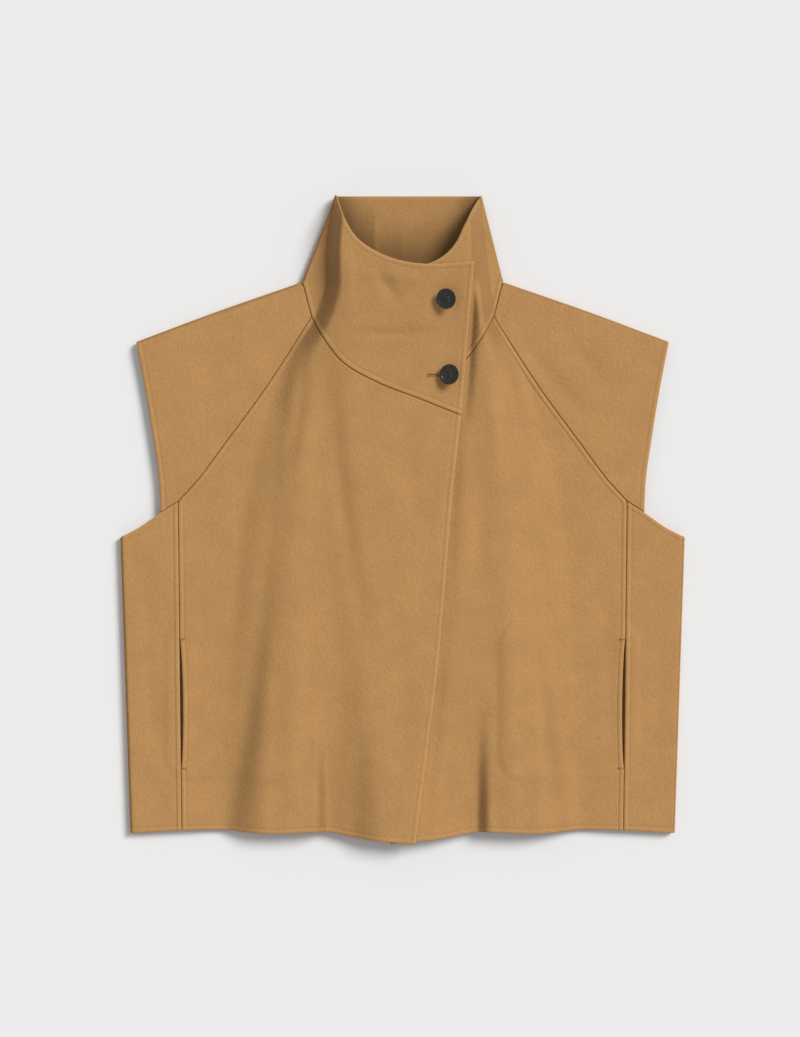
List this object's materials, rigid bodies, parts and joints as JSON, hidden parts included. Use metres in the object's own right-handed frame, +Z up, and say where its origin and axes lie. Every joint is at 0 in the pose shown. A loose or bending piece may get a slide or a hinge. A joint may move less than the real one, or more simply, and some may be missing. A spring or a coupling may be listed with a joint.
{
  "type": "double-faced wool jacket with cap sleeves, laid flat",
  "caption": "Camel wool jacket laid flat: raglan cap sleeves, tall funnel collar buttoned to one side, slanted overlapping fronts, side panels and pockets in the side seams.",
  "frame": {"origin": "under the middle of the garment, on the surface that it lies on", "axes": "+Z up off the surface, +Y from the hem towards the collar, +X towards the wearer's left side"},
  "size_m": [0.622, 0.7124, 0.0439],
  "materials": {
    "wool": "double-faced wool melton in camel, brushed and pressed, soft nap",
    "pocket_wool": "thinner camel wool cloth, felted",
    "horn": "dark horn, turned and polished",
    "button_thread": "dark buttonhole thread, wound"
  },
  "bodies": {
    "root": {"back": "wool", "front_right_over": "wool", "front_left_under": "wool", "side_panel_right": "wool", "side_panel_left": "wool", "sleeve_right": "wool", "sleeve_left": "wool", "collar": "wool", "pocket_bag_right": "pocket_wool", "pocket_bag_left": "pocket_wool", "button_upper": "horn", "button_lower": "horn", "thread_shank_upper": "button_thread", "thread_shank_lower": "button_thread"}
  },
  "joints": []
}
